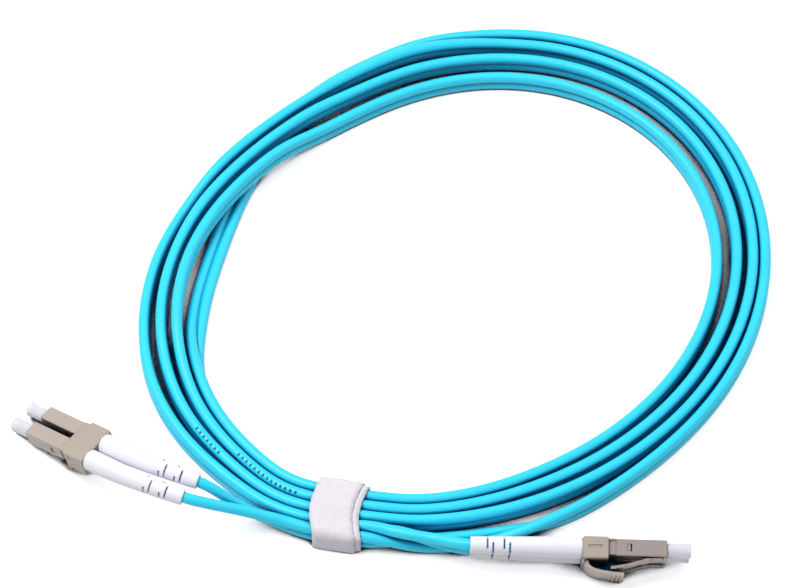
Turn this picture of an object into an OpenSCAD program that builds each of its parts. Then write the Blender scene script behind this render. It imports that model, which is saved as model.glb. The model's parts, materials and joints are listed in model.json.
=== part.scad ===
// Duplex fiber optic patch cord, coiled and tied for storage.
// A twin jacket (two round strands joined by a thin web) is wound into a flat
// coil and held by a hook-and-loop tie. Each end splits into two legs, and each
// leg runs through a strain relief boot into a push-pull plug. A clip with one
// lever joins the two plugs of an end.
//
// Millimetres, +Z up, origin under the middle of the whole part.
// A plug has its own frame: +X is forward out of the plug, X = 0 is the front
// face of the housing, +Z is the latch side, and the two plugs of an end lie
// side by side along Y.

/* [Twin jacket] */
// Diameter of one strand of the jacket
strand_d = 3; // [2.4:0.1:3]
// Thickness of the web between the two strands
web_t = 0.8; // [0.5:0.1:1.2]
// Diameter of the tight buffer inside a strand
buffer_d = 0.9; // [0.6:0.05:1]

/* [Coil] */
// Mean radius of the coil
coil_r = 77.3; // [70:0.1:100]
// How far the coil is drawn out along its long direction
coil_oval = 6.9; // [0:0.1:9]
// Distance between neighbouring turns away from the tie
lane_pitch = 4.35; // [4.1:0.05:5.5]
// How much further apart the turns lie at the far side
lane_spread = 1.0; // [0.8:0.05:1.6]
// Height that a turn climbs where another lies flat under it
cross_lift = 3.5; // [3.4:0.05:4.5]

/* [Tie] */
// Width of the tie, along the cord
tie_w = 11.4; // [8:0.1:13]
// Thickness of one layer of the tie
tie_t = 0.8; // [0.5:0.05:1.2]
// Distance between neighbouring cords inside the tie
tie_pitch = 3.2; // [3.15:0.01:3.6]

/* [Plug housing] */
// Width and height of the plug
plug_w = 4.5; // [4.3:0.05:4.7]
// Length of the plug from its front face to the step
plug_len = 13.4; // [12.5:0.1:14.5]
// Length of the narrower neck that the clip holds
neck_len = 4.2; // [3.5:0.1:4.6]
// Distance between the two plugs of one end
plug_pitch = 6.25; // [6:0.05:6.6]
// Distance from the front face to the middle of the side windows
window_at = 9.9; // [9.5:0.1:10.5]

/* [Latch and lever] */
// Thickness of the latch arm
latch_t = 0.7; // [0.5:0.05:0.8]
// Width of the latch arm
latch_w = 2.9; // [2.2:0.1:3.2]
// Width of the thumb pad at the latch's tail
latch_pad_w = 4.1; // [3.2:0.1:4.3]
// Width of the lever that presses both latches
lever_w = 8.8; // [7.6:0.1:9.6]
// Thickness of the lever
lever_t = 0.9; // [0.7:0.05:1]

/* [Clip] */
// Length of the clip's body
clip_len = 6.7; // [6:0.1:7.5]
// Wall between a plug's neck and the outside of the clip
clip_wall = 0.9; // [0.7:0.05:1.1]
// Height of the clip
clip_h = 6.4; // [6:0.1:6.8]

/* [Ferrule] */
// Diameter of the ceramic ferrule
ferrule_d = 1.25; // [1.25:1.25]
// How far the ferrule stands out of the front face
ferrule_out = 2.2; // [1.8:0.1:2.6]
// How far the ferrule can be pushed back
ferrule_travel = 0.9; // [0.6:0.05:1]
// Diameter of the spring's wire
spring_wire = 0.3; // [0.2:0.02:0.32]
// Number of curls of the spring
spring_curls = 5; // [3:1:5]

/* [Boot] */
// Length of the boot behind the clip
boot_len = 29.4; // [24:0.1:36]
// Diameter of the boot behind the clip
boot_head_d = 5.8; // [5.4:0.05:6]
// Diameter of the boot at its tail
boot_tail_d = 4.4; // [4.3:0.05:5.2]
// Angle through which the two bent boots turn
boot_bend = 31; // [10:1:45]
// Direction in which they bend, from the latch side towards the second plug
boot_bend_roll = 41.5; // [0:1:80]

/* [Dust cap] */
// How far the cap stands out of the plug
cap_len = 6.3; // [4.5:0.1:8]
// Diameter of the cap's head
cap_d = 3.8; // [3.4:0.05:4]

/* [Hidden] */
$fn = 32;

aqua = [0.16, 0.72, 0.84];
beige = [0.62, 0.58, 0.53];
clip_grey = [0.58, 0.54, 0.50];
white = [0.93, 0.93, 0.96];
felt = [0.85, 0.83, 0.83];
ceramic = [0.97, 0.96, 0.92];
metal = [0.72, 0.72, 0.74];
brass = [0.78, 0.66, 0.38];
frosted = [0.93, 0.95, 0.97, 0.6];
ivory = [0.95, 0.93, 0.85];

// ---------------------------------------------------------------- coil ----
// Place of the coil's middle in the part's frame
coil_mid = [16.3, 2.7];
// Direction of the tie, seen from the coil's middle
tie_at = 246.5;
turns = 4;
rings_per_turn = 24;
ring_step = 360 / rings_per_turn;
// Rings stand closer together near the tie, by this share of the even step
tie_ring_share = 0.68;
tie_ring_span = 37.5;
strand_r = strand_d / 2;
tie_gap = 0.1;
tie_lift = tie_t + tie_gap;
// The tie holds the cord straight, which pushes it out a little on one side
tie_straighten = 1.6;
// Part of a turn, counted from the tie, where the first turn passes under
cross_from = 222;
cross_to = 291;
// How far the first turn is pushed in where the cord's end passes over it
start_tuck = 1;
// Least gap that the wound cord keeps to itself
least_gap = 0.4;

function unit(v) = v / norm(v);
function wrap(a) = a - 360 * floor((a + 180) / 360);
function smooth(u) = let(v = min(1, max(0, u))) v * v * (3 - 2 * v);
function bump(a, at, width) = exp(-pow(wrap(a - at) / width, 2));
function hill(t, up_0, up_1, down_0, down_1) =
    smooth((t - up_0) / (up_1 - up_0)) * (1 - smooth((t - down_0) / (down_1 - down_0)));

// The coil's middle line, as a radius over the direction from its middle
function base_r(a) = coil_r + 3.2 * cos(a - 70) + coil_oval * cos(2 * (a - 41))
    + 0.9 * cos(3 * (a + 44)) + tie_straighten * bump(a, tie_at - 10, 10);
function base_point(a) = base_r(a) * [cos(a), sin(a)];
function base_normal(a) = let(d = unit(base_point(a + 0.5) - base_point(a - 0.5))) [d[1], -d[0]];

// 1 inside the tie, 0 well away from it
function near_tie(t) = 1 - smooth((abs(wrap(t)) - 10) / 40);
function pitch_at(t) = let(free = lane_pitch + lane_spread * bump(tie_at + t, 65, 40))
    free + (tie_pitch - free) * near_tie(t);
// Unevenness of the lanes: the inner and outer ones draw in at the far side
function skew_at(t) = (0.2 + 0.7 * cos(tie_at + t - 62)) * (1 - near_tie(t));
function skew_of(lane) = max(-1, 1 - 2 * pow((2 * lane - (turns - 1)) / (turns - 1), 2));

function crossing(t) = smooth((t - cross_from) / (cross_to - cross_from));
// Lane of the cord, counted from the inside, at an angle wound since the tie.
// The first turn comes out of the outermost place in the tie, and at the
// crossing it goes under all others to the inside, and they move out by one.
function lane_at(t) =
    let(n = floor(t / 360), c = crossing(t - 360 * n))
    n < 0 ? turns : n == 0 ? turns - smooth((t - 2) / 75) - (turns - 1) * c : n - 1 + c;
// The first turn lies flat where the cord's end passes over it, beside the tie,
// and again under the crossing
function flat_start(t) = t < 360 ? hill(t, 4, 20, 24, 46) : 0;
function flat_cross(t) = t < 360 ? hill(t, 196, 222, 294, 319) : 0;
function twist_at(t) = 90 * (flat_start(t) + flat_cross(t));
function edge_shift(t) = (strand_r + 0.15) * flat_cross(t) * (0.2 - 1.2 * crossing(t))
    - start_tuck * flat_start(t);
function offset_at(t) = (lane_at(t) - (turns - 1) / 2) * pitch_at(t)
    + skew_at(t) * skew_of(lane_at(t)) + edge_shift(t);
// Climb over the flat first turn, for as long as it lies beneath
function climb_at(t) =
    let(n = floor(t / 360), local = t - 360 * n, c = crossing(local),
        apart = abs(pitch_at(t) * (n - 1 + c - (turns - 1) * (1 - c))))
    n < 1 || n >= turns ? 0 : cross_lift * (1 - smooth((apart - 5.6) / 6.5))
        * hill(local, cross_from - 32, cross_from - 8, cross_to + 8, cross_to + 32);
function lift_at(t) = tie_lift * (1 - smooth((abs(wrap(t)) - 5.5) / 10)) + climb_at(t);
function coil_point(t) =
    let(a = tie_at + t, p = coil_mid + base_point(a) + offset_at(t) * base_normal(a))
    [p[0], p[1], strand_r * (1 + cos(twist_at(t))) + lift_at(t)];

// ------------------------------------------------------- swept sections ----
// Outline of the twin jacket across the cord: [sideways, towards strand 1]
twin_outline = let(r = strand_r, w = r * cos(30), h = r / 2, g = web_t / 2) [
    [0, 2 * r], [w, r + h], [w, r - h], [g, 0], [w, h - r], [w, -h - r],
    [0, -2 * r], [-w, -h - r], [-w, h - r], [-g, 0], [-w, r - h], [-w, r + h]
];
leg_outline = [for (k = [0:7]) (strand_r - 0.02) * [sin(22.5 + 45 * k), cos(22.5 + 45 * k)]];

// A ring of the outline at point p, square to direction d, turned by twist
function side_of(d) = unit([d[1], -d[0], 0]);
function up_of(d) = cross(side_of(d), unit(d));
function ring(outline, p, d, twist) =
    let(s = side_of(d), u = up_of(d))
    [for (q = outline) p
        + s * (q[0] * cos(twist) + q[1] * sin(twist))
        + u * (q[1] * cos(twist) - q[0] * sin(twist))];

// Solid through a list of rings, each followed by its middle point
module sweep(rings, middles) {
    sides = len(rings[0]);
    last = len(rings) - 1;
    skin = [for (i = [0:last - 1], k = [0:sides - 1])
        let(a = i * sides + k, b = i * sides + (k + 1) % sides)
        each [[a, b + sides, b], [a, a + sides, b + sides]]];
    start_cap = [for (k = [0:sides - 1]) [k, (k + 1) % sides, (last + 1) * sides]];
    end_cap = [for (k = [0:sides - 1])
        [last * sides + (k + 1) % sides, last * sides + k, (last + 1) * sides + 1]];
    polyhedron(
        points = concat([for (r = rings) each r], [middles[0], middles[last]]),
        faces = concat(skin, start_cap, end_cap));
}

function coil_direction(t) = unit(coil_point(t + 1) - coil_point(t - 1));
// Angle of a ring, from the angle it would have if all steps were even
function ring_angle(even) =
    let(off = wrap(even), mag = abs(off), edge = tie_ring_share * tie_ring_span)
    even - off + sign(off) * (mag < tie_ring_span ? tie_ring_share * mag
        : edge + (mag - tie_ring_span) * (180 - edge) / (180 - tie_ring_span));
tie_half = tie_ring_share * ring_step / 2;
coil_start = -tie_half;
coil_end = 360 * turns + tie_half;
coil_angles = [for (i = [0:rings_per_turn * turns + 1]) ring_angle((i - 0.5) * ring_step)];
// The stretch inside the tie is straight, so both of its rings look along it
function straight_direction(t) =
    let(n = floor((t + 180) / 360), near = abs(wrap(t)) < 1.5 * tie_half)
    near ? unit(coil_point(360 * n + tie_half) - coil_point(360 * n - tie_half))
        : coil_direction(t);
coil_middles = [for (t = coil_angles) coil_point(t)];
coil_rings = [for (t = coil_angles)
    ring(twin_outline, coil_point(t), straight_direction(t), twist_at(t))];

module cord_coil() {
    color(aqua) sweep(coil_rings, coil_middles);
}

// Least gap between turns, on points: each ring's points against those of the
// rings near it in the other turns
function between(a, b) = [for (u = [0:0.25:1]) a + (b - a) * u];
function fine(i) = [for (k = [0:len(twin_outline) - 1])
    each between(coil_rings[i][k], coil_rings[i + 1][k])];
coil_gap = min([for (i = [0:rings_per_turn + 2], n = [1:turns])
    let(j = i + n * rings_per_turn)
    if (j < len(coil_rings) - 1) for (p = fine(i), q = fine(j)) norm(p - q)]);
coil_length = let(fine_step = 3)
    [for (t = coil_start, s = 0; t < coil_end;
        s = s + norm(coil_point(t + fine_step) - coil_point(t)), t = t + fine_step) s];
echo(coil_least_gap = coil_gap, wanted = least_gap, coil_length = max(coil_length));
echo(tie_mid = tie_mid);

// ----------------------------------------------------------------- tie ----
tie_mid = let(p = (coil_point(-tie_half) + coil_point(tie_half)) / 2,
    q = (coil_point(360 - tie_half) + coil_point(360 + tie_half)) / 2)
    [(p[0] + q[0]) / 2, (p[1] + q[1]) / 2];
tie_heading = let(d = straight_direction(360 * floor(turns / 2))) atan2(d[1], d[0]);
tie_in_w = turns * tie_pitch + strand_d + 2 * tie_gap;
tie_in_h = 2 * strand_d + 2 * tie_gap;

module rounded_rect(w, h, r) {
    square([w - 2 * r, h], center = true);
    square([w, h - 2 * r], center = true);
    for (x = [-1, 1], y = [-1, 1])
        translate([x * (w / 2 - r), y * (h / 2 - r)]) circle(r);
}

// Closed band round the cords, and a second layer over the top and outer side
module cable_tie() {
    inner_r = 1;
    // The two layers don't lie exactly on each other
    layer_shift = 0.9;
    mid_z = tie_t + tie_in_h / 2;
    color(felt)
    translate([tie_mid[0], tie_mid[1], mid_z])
    rotate([0, 0, tie_heading])
    rotate([90, 0, 90])
    difference() {
        union() {
            translate([0, 0, layer_shift]) linear_extrude(tie_w, center = true)
                rounded_rect(tie_in_w + 2 * tie_t, tie_in_h + 2 * tie_t, inner_r + tie_t);
            translate([-tie_in_w / 10, tie_t, -layer_shift]) linear_extrude(tie_w, center = true)
                rounded_rect(tie_in_w * 0.85, tie_in_h + 2 * tie_t, inner_r + tie_t);
        }
        linear_extrude(2 * tie_w, center = true) rounded_rect(tie_in_w, tie_in_h, inner_r);
    }
}

// ------------------------------------------------------------ placement ----
// Each end's pair of plugs, placed from the middle of the tie
pair_a_from_tie = [-80.64, 28.48];
pair_a_height = 3.8;
pair_a_turn = [180, 17.8, 141.9];
pair_b_from_tie = [86.21, -13.16];
pair_b_height = 6.42;
pair_b_turn = [109, 1.5, -1];

function turn_x(v, a) = [v[0], v[1] * cos(a) - v[2] * sin(a), v[1] * sin(a) + v[2] * cos(a)];
function turn_y(v, a) = [v[0] * cos(a) + v[2] * sin(a), v[1], v[2] * cos(a) - v[0] * sin(a)];
function turn_z(v, a) = [v[0] * cos(a) - v[1] * sin(a), v[0] * sin(a) + v[1] * cos(a), v[2]];
function turned(v, r) = turn_z(turn_y(turn_x(v, r[0]), r[1]), r[2]);
function pair_at(end) = end == "a"
    ? [tie_mid[0] + pair_a_from_tie[0], tie_mid[1] + pair_a_from_tie[1], pair_a_height]
    : [tie_mid[0] + pair_b_from_tie[0], tie_mid[1] + pair_b_from_tie[1], pair_b_height];
function pair_turn(end) = end == "a" ? pair_a_turn : pair_b_turn;
function placed(end, v) = pair_at(end) + turned(v, pair_turn(end));

module place_pair(end) {
    translate(pair_at(end)) rotate(pair_turn(end)) children();
}
// Plug 1 of end a and plug 2 of end b lie on the -Y side of their pair
function plug_y(end, n) = (end == "a" ? 2 * n - 3 : 3 - 2 * n) * plug_pitch / 2;
module place_plug(end, n) {
    place_pair(end) translate([0, plug_y(end, n), 0]) children();
}

// ---------------------------------------------------- plug cross shapes ----
// A 2D shape in the plug's Y and Z, drawn along X from x_0 forward to x_1
module prism_x(x_0, x_1) {
    translate([x_0, 0, 0]) rotate([90, 0, 90]) linear_extrude(x_1 - x_0) children();
}
// A side view in the plug's X and Z, given a width along Y
module side_view(w) {
    rotate([90, 0, 0]) linear_extrude(w, center = true) children();
}
module rod_x(x_0, x_1, d) {
    translate([x_0, 0, 0]) rotate([0, 90, 0]) cylinder(d = d, h = x_1 - x_0);
}
// A bevelled edge that runs along Y, cut from a corner at [x, z]
module bevel_cut(x, z, leg, w) {
    translate([x, 0, z]) rotate([0, 45, 0])
        cube([leg * sqrt(2), w, leg * sqrt(2)], center = true);
}
function bezier(p, u) = len(p) == 1 ? p[0]
    : let(m = [for (i = [0:len(p) - 2]) p[i] * (1 - u) + p[i + 1] * u]) bezier(m, u);
// Outline of a strip of even thickness along a curve
function strip(p, thick, steps) =
    let(mid = [for (i = [0:steps]) bezier(p, i / steps)],
        nrm = [for (i = [0:steps])
            let(d = unit(bezier(p, i / steps + 0.01) - bezier(p, i / steps - 0.01))) [-d[1], d[0]]])
    concat([for (i = [0:steps]) mid[i] + nrm[i] * thick / 2],
        [for (i = [steps:-1:0]) mid[i] - nrm[i] * thick / 2]);

// -------------------------------------------------------------- stations ----
// Places along the plug, measured back from the front face
shoulder_at = 3.4;
nose_bore_d = 2.7;
chamber_d = 3.3;
neck_w = plug_w - 0.4;
neck_end = plug_len + neck_len;
clip_gap = 0.05;
clip_end = 22.2;
clip_front = clip_end - clip_len;
boot_socket = 1.8;
sleeve_end = clip_end + 2.8;
jacket_end = clip_end + 0.8;
post_end = clip_end + 0.6;
holder_head = shoulder_at + 0.1;
holder_head_len = 1.9;
spring_front = holder_head + holder_head_len;
backbone_front = window_at - 0.2;
spring_len = backbone_front - spring_front;
bend_start = sleeve_end;
bend_len = boot_len - (bend_start - clip_end);
bend_r = bend_len / (boot_bend * PI / 180);
wall_clear = 0.05;
hinge_clear = 0.08;

// --------------------------------------------------------------- housing ----
// Middle of the latch's round root, [x, z]
latch_pin = [-1.35, plug_w / 2 + 0.53];
latch_pin_r = 0.45;
window_len = 1.3;
window_h = 2;

module housing_shape() {
    bevel = 0.3;
    seat_len = 1.35;
    seat_h = 0.95;
    difference() {
        union() {
            prism_x(-plug_len, 0) rounded_rect(plug_w, plug_w, 0.35);
            prism_x(-neck_end, -plug_len) rounded_rect(neck_w, neck_w, 0.3);
            // Block on the front edge that the latch is rooted in
            translate([-seat_len, -latch_w / 2 - 0.3, plug_w / 2 - 0.1])
                cube([seat_len, latch_w + 0.6, seat_h + 0.1]);
        }
        rod_x(-shoulder_at, 1, nose_bore_d);
        rod_x(-neck_end - 1, -shoulder_at, chamber_d);
        translate([-window_at, 0, 0]) cube([window_len, plug_w + 2, window_h], center = true);
        for (side = [90, 180, 270])
            rotate([side, 0, 0]) bevel_cut(0, plug_w / 2, bevel, plug_w + 1);
        bevel_cut(0, plug_w / 2 + seat_h, bevel, plug_w);
        // Hollow for the latch's root
        translate([latch_pin[0], 0, latch_pin[1]]) rotate([90, 0, 0])
            cylinder(r = latch_pin_r + hinge_clear, h = plug_w + 2, center = true);
    }
}

// Arm that rises towards the rear, with two side lugs and a thumb pad
latch_curve = [latch_pin, [-6.6, plug_w / 2 + 0.3], [-8.6, plug_w / 2 + 2.4],
    [-14.8, plug_w / 2 + 3.2]];
module latch_shape() {
    lug_front = 4.6;
    lug_len = 1.8;
    pad_from = 11;
    arm = strip(latch_curve, latch_t, 12);
    side_view(latch_w) polygon(arm);
    translate([latch_pin[0], 0, latch_pin[1]]) rotate([90, 0, 0])
        cylinder(r = latch_pin_r, h = latch_w, center = true);
    // Lugs that catch in the adapter
    intersection() {
        side_view(latch_pad_w) polygon(arm);
        translate([-lug_front - lug_len, -plug_w, 0]) cube([lug_len, 2 * plug_w, 9]);
    }
    intersection() {
        side_view(latch_pad_w) polygon(arm);
        translate([-20, -plug_w, 0]) cube([20 - pad_from, 2 * plug_w, 9]);
    }
    // Grip ridges across the thumb pad
    for (u = [0.8, 0.87, 0.94])
        translate([bezier(latch_curve, u)[0], 0, bezier(latch_curve, u)[1] + latch_t * 0.4])
            rotate([90, 0, 0]) cylinder(r = 0.18, h = latch_pad_w, center = true);
}

// ------------------------------------------------------ ferrule and tail ----
ferrule_in = 1.2;
holder_stem_len = 4;
holder_stem_d = 1.9;
stem_wall = 1.2;
module ferrule_shape() {
    tip = 0.2;
    rotate([0, 90, 0]) rotate_extrude()
        polygon([[0, -holder_head - ferrule_in], [ferrule_d / 2, -holder_head - ferrule_in],
            [ferrule_d / 2, ferrule_out - tip], [ferrule_d / 2 - tip, ferrule_out],
            [0, ferrule_out]]);
}

module ferrule_holder_shape() {
    head_d = 2.9;
    stem_end = spring_front + holder_stem_len;
    difference() {
        union() {
            rod_x(-spring_front, -holder_head, head_d);
            rod_x(-stem_end, -spring_front, holder_stem_d);
        }
        rod_x(-holder_head - ferrule_in - 0.05, 0, ferrule_d + 2 * 0.02);
        rod_x(-stem_end - 1, -spring_front - stem_wall, buffer_d + 0.2);
        // Four key slots that let it be set at one of four turns
        for (side = [0:90:270]) rotate([side, 0, 0])
            translate([-spring_front - 0.01, -0.25, head_d / 2 - 0.25])
                cube([holder_head_len + 1, 0.5, 1]);
    }
}

// One unbroken wire with a straight end at each side
module ferrule_spring_shape() {
    wire_r = spring_wire / 2;
    mean_r = holder_stem_d / 2 + 0.1 + wire_r;
    steps = 8;
    end_gap = wire_r + 0.02;
    run = spring_len - 2 * end_gap;
    helix = [for (i = [0:spring_curls * steps])
        let(a = 360 * i / steps)
        [-spring_front - end_gap - run * i / (spring_curls * steps),
            mean_r * cos(a), mean_r * sin(a)]];
    tangent = function (i) unit(helix[min(i + 1, len(helix) - 1)] - helix[max(i - 1, 0)]);
    wire = [for (k = [0:5]) wire_r * [cos(60 * k), sin(60 * k)]];
    rings = [for (i = [0:len(helix) - 1])
        let(d = tangent(i), out = unit([0, helix[i][1], helix[i][2]]), along = cross(d, out))
        [for (q = wire) helix[i] + out * q[0] + along * q[1]]];
    sweep(rings, helix);
}

module backbone_shape() {
    tube_d = chamber_d - 2 * wall_clear;
    flange_from = neck_end + 0.1;
    flange_len = 1.1;
    tab_w = 2 * (plug_w / 2 - 0.15);
    difference() {
        union() {
            rod_x(-flange_from - 0.1, -backbone_front, tube_d);
            prism_x(-flange_from - flange_len, -flange_from)
                rounded_rect(neck_w - 0.1, neck_w - 0.1, 0.3);
            rod_x(-post_end, -flange_from, strand_d);
            // Snap tabs that show in the housing's side windows
            translate([-window_at - window_len / 2 + wall_clear, -tab_w / 2,
                -window_h / 2 + wall_clear])
                cube([window_len / 2 + 0.2, tab_w, window_h - 2 * wall_clear]);
        }
        rod_x(-spring_front - holder_stem_len - ferrule_travel - 1, 0, holder_stem_d + 0.2);
        rod_x(-post_end - 1, 0, buffer_d + 0.2);
        // Grooves of the crimp post
        for (x = [0:2])
            translate([-post_end + 0.5 + x * 0.9, 0, 0]) rotate([0, 90, 0])
                difference() {
                    cylinder(d = strand_d + 1, h = 0.4);
                    cylinder(d = strand_d - 0.3, h = 0.4);
                }
    }
}

sleeve_id = strand_d + 0.2;
sleeve_od = 4.2;
module crimp_sleeve_shape() {
    difference() {
        rod_x(-sleeve_end, -neck_end - 1.4, sleeve_od);
        rod_x(-sleeve_end - 1, 0, sleeve_id);
        // Marks of the crimping tool
        for (side = [0:60:300]) rotate([side, 0, 0])
            translate([-jacket_end + 0.6, -1, sleeve_od / 2 - 0.12]) cube([1.6, 2, 1]);
    }
}

module fiber_buffer_shape() {
    rod_x(-jacket_end, -spring_front - stem_wall - ferrule_travel - 0.15, buffer_d);
}

// ------------------------------------------------------------------ boot ----
// From here on shapes run backwards from the end of the boot's straight head.
// The bend lies in the plane of the rolled +Z and turns towards it.
module bend_frame(u) {
    // Frame at the part u of the bend, with +X still pointing forwards
    translate([-bend_start, 0, 0]) rotate([-boot_bend_roll, 0, 0])
        translate([0, 0, bend_r]) rotate([0, u * boot_bend, 0]) translate([0, 0, -bend_r])
        children();
}
// Piece of a round bar along the bend, from part u_0 to part u_1 of it
module bent_rod(u_0, u_1, d) {
    translate([-bend_start, 0, 0]) rotate([-boot_bend_roll, 0, 0])
        translate([0, 0, bend_r])
        rotate([90, 0, 0])
        rotate([0, 0, -90 - u_1 * boot_bend])
        rotate_extrude(angle = (u_1 - u_0) * boot_bend, $fn = 96)
            translate([bend_r, 0]) circle(d = d, $fn = 32);
}
module run_frame(bent, u) {
    if (bent) bend_frame(u) children();
    else translate([-bend_start - u * bend_len, 0, 0]) children();
}
module run_rod(bent, u_0, u_1, d) {
    if (bent) bent_rod(u_0, u_1, d);
    else rod_x(-bend_start - u_1 * bend_len, -bend_start - u_0 * bend_len, d);
}

boot_steps = 5;
// Part of the bend by which one piece of a run reaches into the next
nest = 0.02;
boot_bore_d = strand_d + 0.3;
module boot_shape(bent) {
    head_bore = sleeve_od + 0.1;
    collar_d = plug_w + 0.5;
    slot_w = 0.5;
    // Distance of each flexing slot from the tail, and which way it leans
    slots = [[4.5, 1], [6, -1], [8.9, 1], [10.4, -1]];
    slot_turn = bent ? -33 : -75;
    slot_lean = bent ? 30 : -30;
    difference() {
        union() {
            rod_x(-clip_end - 0.1, -clip_end + boot_socket - 0.1, collar_d);
            rod_x(-bend_start, -clip_end - 0.05, boot_head_d);
            for (i = [0:boot_steps - 1])
                run_rod(bent, i / boot_steps - nest, (i + 1) / boot_steps,
                    boot_head_d - (boot_head_d - boot_tail_d) * (i + 0.5) / boot_steps);
        }
        rod_x(-sleeve_end - 0.2, 0, head_bore);
        run_rod(bent, -nest, 1 + nest, boot_bore_d);
        for (s = slots, opposite = [0, 180]) run_frame(bent, 1 - s[0] / bend_len)
            rotate([slot_turn + s[1] * slot_lean + opposite, 0, 0])
            translate([-slot_w / 2, -boot_head_d, 1.35])
            cube([slot_w, 2 * boot_head_d, boot_head_d]);
    }
}

// ------------------------------------------------------------------ legs ----
// A leg leaves the twin jacket as one strand, runs free to the boot's tail and
// on through the boot into the crimp sleeve.
function boot_tail(end, n) =
    let(y = plug_y(end, n), a = boot_bend)
    end == "a"
        ? let(back = bend_r * sin(a), rise = bend_r * (1 - cos(a)))
            placed(end, [-bend_start - back, y + rise * sin(boot_bend_roll),
                rise * cos(boot_bend_roll)])
        : placed(end, [-bend_start - bend_len, y, 0]);
// Direction out of the boot's tail, away from the plug
function tail_direction(end) =
    let(a = boot_bend, r = boot_bend_roll)
    turned(end == "a" ? [-cos(a), sin(a) * sin(r), sin(a) * cos(r)] : [-1, 0, 0],
        pair_turn(end));

// Middle line of the twin jacket beyond the coil, from the tie to the split:
// [x from the tie's middle, y from the tie's middle, height, twist]
lead_a_route = [[-14.5, -2.6, 4.3, 8], [-18, -1.8, 5, 18], [-21, -1.2, 5.8, 28]];
lead_b_route = [[10.2, -4.9, 5.4, 15], [14, -6.5, 6.8, 40], [18.2, -7.9, 7.3, 36],
    [24.2, -9.3, 6.9, 18]];

function lead_points(end) =
    let(first = end == "a" ? coil_point(coil_start) : coil_point(coil_end),
        route = end == "a" ? lead_a_route : lead_b_route)
    concat([concat(first, [0])],
        [for (p = route) [tie_mid[0] + p[0], tie_mid[1] + p[1], p[2], p[3]]]);
function xyz(p) = [p[0], p[1], p[2]];
// Direction of travel along the wound cord, so that both leads keep its sides
function lead_direction(end, pts, i) =
    let(s = end == "a" ? -1 : 1)
    i == 0 ? straight_direction(end == "a" ? coil_start : coil_end)
        : s * unit(xyz(pts[min(i + 1, len(pts) - 1)]) - xyz(pts[i - 1]));
module cord_lead(end) {
    pts = lead_points(end);
    rings = [for (i = [0:len(pts) - 1])
        ring(twin_outline, xyz(pts[i]), lead_direction(end, pts, i), pts[i][3])];
    ordered = end == "a" ? [for (i = [len(pts) - 1:-1:0]) rings[i]] : rings;
    middles = end == "a" ? [for (i = [len(pts) - 1:-1:0]) xyz(pts[i])]
        : [for (p = pts) xyz(p)];
    color(aqua) sweep(ordered, middles);
}
// Strand 1 is the upper one in the coil
function split_point(end, n) =
    let(pts = lead_points(end), i = len(pts) - 1, p = pts[i],
        d = lead_direction(end, pts, i), side = n == 1 ? 1 : -1)
    xyz(p) + side * strand_r * (side_of(d) * sin(p[3]) + up_of(d) * cos(p[3]));
function hermite(p, a, q, b, u) =
    p * (2 * pow(u, 3) - 3 * pow(u, 2) + 1) + a * (pow(u, 3) - 2 * pow(u, 2) + u)
    + q * (3 * pow(u, 2) - 2 * pow(u, 3)) + b * (pow(u, 3) - pow(u, 2));
leg_rings = 5;
module leg(end, n) {
    pts = lead_points(end);
    d = lead_direction(end, pts, len(pts) - 1);
    p = split_point(end, n);
    q = boot_tail(end, n);
    reach = norm(q - p);
    away = end == "a" ? -1 : 1;
    spread = 3;
    a = 0.7 * away * d * reach + spread * unit(p - xyz(pts[len(pts) - 1]));
    b = -0.7 * tail_direction(end) * reach;
    seat = 0.3;
    mids = concat([for (i = [0:leg_rings]) hermite(p, a, q, b, i / leg_rings)],
        [q + seat * unit(b)]);
    heading = [for (i = [0:leg_rings + 1]) i == 0 ? away * d : i >= leg_rings ? unit(b)
        : unit(mids[i + 1] - mids[i - 1])];
    color(aqua) {
        sweep([for (i = [0:leg_rings + 1]) ring(leg_outline, mids[i], heading[i], 0)], mids);
        place_plug(end, n) {
            rod_x(-bend_start - seat, -jacket_end, strand_d - 0.04);
            run_rod(end == "a", 0, 1, strand_d);
        }
    }
}

// ------------------------------------------------------------------ clip ----
clip_w = plug_pitch + neck_w + 2 * clip_wall;
// Middle of the lever's round root, [x, z]
lever_pin = [-21.1, clip_h / 2 + 0.85];
lever_pin_r = 0.6;
module duplex_clip_shape() {
    channel = neck_w + 2 * clip_gap;
    plate_t = 0.5;
    seat_w = lever_w + 1;
    // The clip is nearly flush with the plugs on the side away from the latches
    back_z = plug_w / 2 + 0.35;
    difference() {
        union() {
            prism_x(-clip_end, -clip_front) intersection() {
                rounded_rect(clip_w, clip_h, 0.5);
                translate([-clip_w / 2, -back_z]) square([clip_w, back_z + clip_h]);
            }
            // Plate that bridges the two necks on the side away from the latches
            translate([-clip_front - 0.1, -clip_w / 2 + 0.6, -plug_w / 2 - 0.05])
                cube([clip_front + 0.1 - plug_len - 0.1, clip_w - 1.2, plate_t]);
            // Ridge that carries the lever
            translate([-clip_end, -seat_w / 2, clip_h / 2 - 0.1])
                cube([clip_end + lever_pin[0], seat_w, 0.95]);
        }
        for (y = [-1, 1] * plug_pitch / 2) translate([0, y, 0]) {
            prism_x(-clip_end + boot_socket, 0) square(channel, center = true);
            rod_x(-clip_end - 1, -clip_end + boot_socket + 0.01, plug_w + 0.6);
            // Long side slot and a small round sight hole
            translate([-20.6, sign(y) * (neck_w / 2 + clip_wall - 0.25), -0.4])
                cube([3.4, 1, 0.8], center = false);
            translate([-16.8, 0, -0.9]) rotate([90, 0, 0])
                cylinder(d = 0.7, h = 2 * clip_w);
        }
        bevel_cut(-clip_end, -back_z, 0.4, 2 * clip_w);
        translate([lever_pin[0], 0, lever_pin[1]]) rotate([90, 0, 0])
            cylinder(r = lever_pin_r + hinge_clear, h = 2 * clip_w, center = true);
    }
}

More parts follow.
